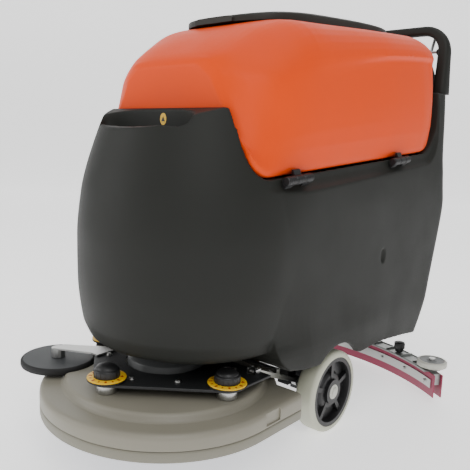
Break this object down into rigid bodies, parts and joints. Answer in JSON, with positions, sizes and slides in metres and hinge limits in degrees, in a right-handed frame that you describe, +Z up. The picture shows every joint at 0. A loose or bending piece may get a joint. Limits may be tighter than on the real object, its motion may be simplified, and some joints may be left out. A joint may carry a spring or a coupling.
{
  "type": "wet dry floor scrubber",
  "caption": "Walk-behind floor scrubber with a round brush deck, tipping recovery tank over a solution tank, drive wheels, curved squeegee and rear handle.",
  "frame": {"origin": "on the floor, under the middle of the machine's length and width", "axes": "+Z up; the machine drives towards -Y, and +X is its left side, where the recovery tank's hinges are"},
  "size_m": [0.7952, 1.271, 1.0425],
  "materials": {
    "body_plastic": "satin moulded",
    "orange_plastic": "satin moulded",
    "deck_casting": "satin paint",
    "black_plastic": "satin",
    "black_rubber": "matt",
    "tyre_polyurethane": "satin",
    "zinc_steel": "satin",
    "frame_paint": "satin",
    "cast_aluminium": "satin",
    "dial_yellow": "satin",
    "red_polyurethane": "satin",
    "grey_plastic": "satin",
    "pale_plastic": "satin",
    "nylon_bristle": "matt",
    "brass": "satin"
  },
  "bodies": {
    "machine": {"solution_tank": "body_plastic", "fill_strainer": "grey_plastic", "chassis_frame": "frame_paint", "drive_transaxle": "cast_aluminium", "battery_front": "black_plastic", "battery_rear": "black_plastic", "battery_link": "zinc_steel", "vacuum_motor": "cast_aluminium", "solution_valve": "brass", "rear_handle": "body_plastic", "control_console": "body_plastic", "battery_gauge": "black_plastic", "suction_hose": "black_rubber", "tank_hinge_base_front": "black_plastic", "tank_hinge_base_rear": "black_plastic"},
    "left_wheel": {"tyre_left": "tyre_polyurethane", "wheel_rim_left": "black_plastic", "hub_cap_left": "pale_plastic"},
    "right_wheel": {"tyre_right": "tyre_polyurethane", "wheel_rim_right": "black_plastic", "hub_cap_right": "pale_plastic"},
    "caster_swivel": {"caster_fork": "zinc_steel"},
    "caster_roller": {"caster_wheel": "black_rubber"},
    "tank": {"recovery_tank": "orange_plastic", "float_cage": "grey_plastic", "tank_hinge_leaf_front": "black_plastic", "tank_hinge_leaf_rear": "black_plastic"},
    "lid": {"recovery_lid": "body_plastic", "lid_seal": "black_rubber"},
    "float": {"float_ball": "pale_plastic"},
    "lift_arm": {"deck_lift_arm": "zinc_steel"},
    "deck": {"deck_shell": "deck_casting", "deck_skirt": "grey_plastic", "brush_motor": "cast_aluminium", "adjuster_plate": "frame_paint", "bumper_bracket": "zinc_steel"},
    "adjuster_front": {"adjuster_knob_front": "black_plastic"},
    "adjuster_left": {"adjuster_knob_left": "black_plastic"},
    "adjuster_right": {"adjuster_knob_right": "black_plastic"},
    "bumper": {"bumper_wheel": "black_rubber"},
    "brush": {"brush_drive_plate": "cast_aluminium", "brush_block": "grey_plastic", "brush_bristles": "nylon_bristle"},
    "pedal": {"deck_pedal": "zinc_steel"},
    "squeegee_lift": {"squeegee_arm": "zinc_steel"},
    "squeegee": {"squeegee_casting": "cast_aluminium", "front_blade": "red_polyurethane", "rear_blade": "red_polyurethane", "front_clamp_strip": "zinc_steel", "rear_clamp_strip": "zinc_steel"},
    "guide_left": {"guide_wheel_left": "grey_plastic"},
    "guide_right": {"guide_wheel_right": "grey_plastic"},
    "clamp_knob_left": {"squeegee_knob_left": "black_plastic"},
    "clamp_knob_right": {"squeegee_knob_right": "black_plastic"},
    "lever": {"squeegee_lever": "zinc_steel"},
    "key": {"key_switch": "zinc_steel"},
    "brush_switch": {"brush_button": "dial_yellow"},
    "vacuum_switch": {"vacuum_button": "dial_yellow"},
    "water_control": {"water_knob": "black_plastic"},
    "bail": {"start_bail": "zinc_steel"}
  },
  "joints": [
    {"name": "left_wheel_roll", "type": "hinge", "parent": "machine", "child": "left_wheel", "pos_m": [0.246, -0.0555, 0.099], "axis": [1, 0, 0], "continuous": true},
    {"name": "right_wheel_roll", "type": "hinge", "parent": "machine", "child": "right_wheel", "pos_m": [-0.246, -0.0555, 0.099], "axis": [1, 0, 0], "continuous": true},
    {"name": "caster_turn", "type": "hinge", "parent": "machine", "child": "caster_swivel", "pos_m": [0, 0.2445, 0.12], "axis": [0, 0, 1], "continuous": true},
    {"name": "caster_roll", "type": "hinge", "parent": "caster_swivel", "child": "caster_roller", "pos_m": [0, 0.2795, 0.05], "axis": [1, 0, 0], "continuous": true},
    {"name": "tank_tip", "type": "hinge", "parent": "machine", "child": "tank", "pos_m": [0.2585, -0.00534, 0.62874], "axis": [0, 0.9971, 0.0765], "range_deg": [0, 80]},
    {"name": "lid_open", "type": "hinge", "parent": "tank", "child": "lid", "pos_m": [0, 0.40808, 0.99185], "axis": [-1, 0, 0], "range_deg": [0, 75]},
    {"name": "float_rise", "type": "slide", "parent": "tank", "child": "float", "axis": [0, -0.0765, 0.9971], "range_m": [0, 0.045]},
    {"name": "deck_lift", "type": "hinge", "parent": "machine", "child": "lift_arm", "pos_m": [0, -0.1005, 0.118], "axis": [1, 0, 0], "range_deg": [0, 24.4]},
    {"name": "deck_level", "type": "hinge", "parent": "lift_arm", "child": "deck", "pos_m": [0, -0.2705, 0.188], "axis": [1, 0, 0], "range_deg": [-24.4, 0]},
    {"name": "pedal_rock", "type": "hinge", "parent": "machine", "child": "pedal", "pos_m": [0, 0.3995, 0.15], "axis": [1, 0, 0], "range_deg": [0, 19.52]},
    {"name": "brush_spin", "type": "hinge", "parent": "deck", "child": "brush", "pos_m": [0, -0.3555, 0.14], "axis": [0, 0, 1], "continuous": true},
    {"name": "front_adjuster_turn", "type": "hinge", "parent": "deck", "child": "adjuster_front", "pos_m": [0, -0.5255, 0.19], "axis": [0, 0, 1], "range_deg": [-150, 150]},
    {"name": "left_adjuster_turn", "type": "hinge", "parent": "deck", "child": "adjuster_left", "pos_m": [0.194, -0.3655, 0.19], "axis": [0, 0, 1], "range_deg": [-150, 150]},
    {"name": "right_adjuster_turn", "type": "hinge", "parent": "deck", "child": "adjuster_right", "pos_m": [-0.194, -0.3655, 0.19], "axis": [0, 0, 1], "range_deg": [-150, 150]},
    {"name": "bumper_spin", "type": "hinge", "parent": "deck", "child": "bumper", "pos_m": [-0.226, -0.4915, 0.157], "axis": [0, 0, 1], "continuous": true},
    {"name": "squeegee_raise", "type": "hinge", "parent": "machine", "child": "squeegee_lift", "pos_m": [0, 0.1445, 0.125], "axis": [1, 0, 0], "range_deg": [-2.9, 7.2], "deforming": ["suction_hose"]},
    {"name": "lever_pull", "type": "hinge", "parent": "machine", "child": "lever", "pos_m": [0.12, 0.6165, 0.6], "axis": [1, 0, 0], "range_deg": [-28.8, 11.6]},
    {"name": "squeegee_swing", "type": "hinge", "parent": "squeegee_lift", "child": "squeegee", "pos_m": [0, 0.4145, 0.1], "axis": [0, 0, 1], "range_deg": [-15, 15]},
    {"name": "left_guide_roll", "type": "hinge", "parent": "squeegee", "child": "guide_left", "pos_m": [0.352, 0.3305, 0.093], "axis": [0, 0, 1], "continuous": true},
    {"name": "right_guide_roll", "type": "hinge", "parent": "squeegee", "child": "guide_right", "pos_m": [-0.352, 0.3305, 0.093], "axis": [0, 0, 1], "continuous": true},
    {"name": "left_clamp_turn", "type": "hinge", "parent": "squeegee", "child": "clamp_knob_left", "pos_m": [0.235, 0.37703, 0.1], "axis": [0, 0, 1], "continuous": true},
    {"name": "right_clamp_turn", "type": "hinge", "parent": "squeegee", "child": "clamp_knob_right", "pos_m": [-0.235, 0.37703, 0.1], "axis": [0, 0, 1], "continuous": true},
    {"name": "key_turn", "type": "hinge", "parent": "machine", "child": "key", "pos_m": [-0.13, 0.5805, 0.895], "axis": [0, 0.6971, 0.717], "range_deg": [0, 90]},
    {"name": "brush_press", "type": "slide", "parent": "machine", "child": "brush_switch", "axis": [0, -0.6971, -0.717], "range_m": [0, 0.003], "stiffness_N_per_m": 300},
    {"name": "vacuum_press", "type": "slide", "parent": "machine", "child": "vacuum_switch", "axis": [0, -0.6971, -0.717], "range_m": [0, 0.003], "stiffness_N_per_m": 300},
    {"name": "water_turn", "type": "hinge", "parent": "machine", "child": "water_control", "pos_m": [0.055, 0.5805, 0.895], "axis": [0, 0.6971, 0.717], "range_deg": [0, 270]},
    {"name": "bail_pull", "type": "hinge", "parent": "machine", "child": "bail", "pos_m": [0, 0.5625, 0.965], "axis": [1, 0, 0], "range_deg": [0, 7], "stiffness_Nm_per_rad": 3}
  ],
  "couplings": [
    {"joint": "deck_level", "follows": "deck_lift", "ratio": -1},
    {"joint": "pedal_rock", "follows": "deck_lift", "ratio": 0.8},
    {"joint": "lever_pull", "follows": "squeegee_raise", "ratio": -4}
  ]
}
